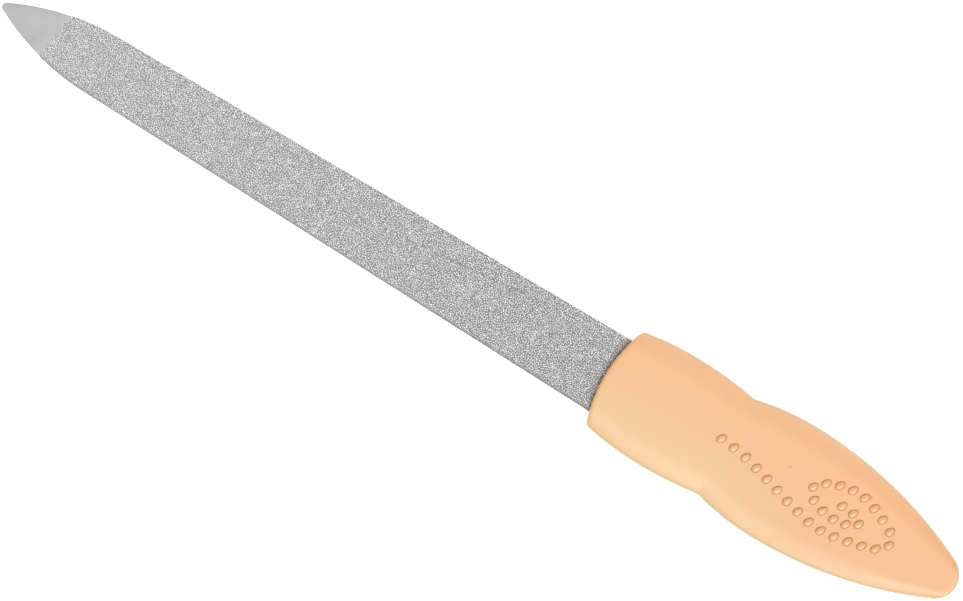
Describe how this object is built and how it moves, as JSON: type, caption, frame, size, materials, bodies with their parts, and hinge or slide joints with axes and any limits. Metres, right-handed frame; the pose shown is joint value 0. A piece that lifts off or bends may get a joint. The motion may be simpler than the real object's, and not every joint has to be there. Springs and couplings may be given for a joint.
{
  "type": "sapphire nail file",
  "caption": "Slim nail file with a spear-tipped steel blade, a sapphire coat on both faces and a flat waisted plastic handle with a dotted spiral.",
  "frame": {"origin": "centre of the file's box in X and Y, on the handle's back land in Z, so the handle rests on Z = 0", "axes": "+X along the file towards the blade's tip, +Y across it, +Z out of the coarse, patterned face"},
  "size_m": [0.15, 0.0172, 0.0044],
  "materials": {
    "steel": "satin, bare at the spear tip",
    "coarse_sapphire": "coarse crushed sapphire in a thin metal bond, grey and gritty",
    "fine_sapphire": "finer crushed sapphire in a thin metal bond, grey and gritty",
    "handle_plastic": "satin peach moulded plastic"
  },
  "bodies": {
    "root": {"blade": "steel", "coarse_coat": "coarse_sapphire", "fine_coat": "fine_sapphire", "handle": "handle_plastic"}
  },
  "joints": []
}
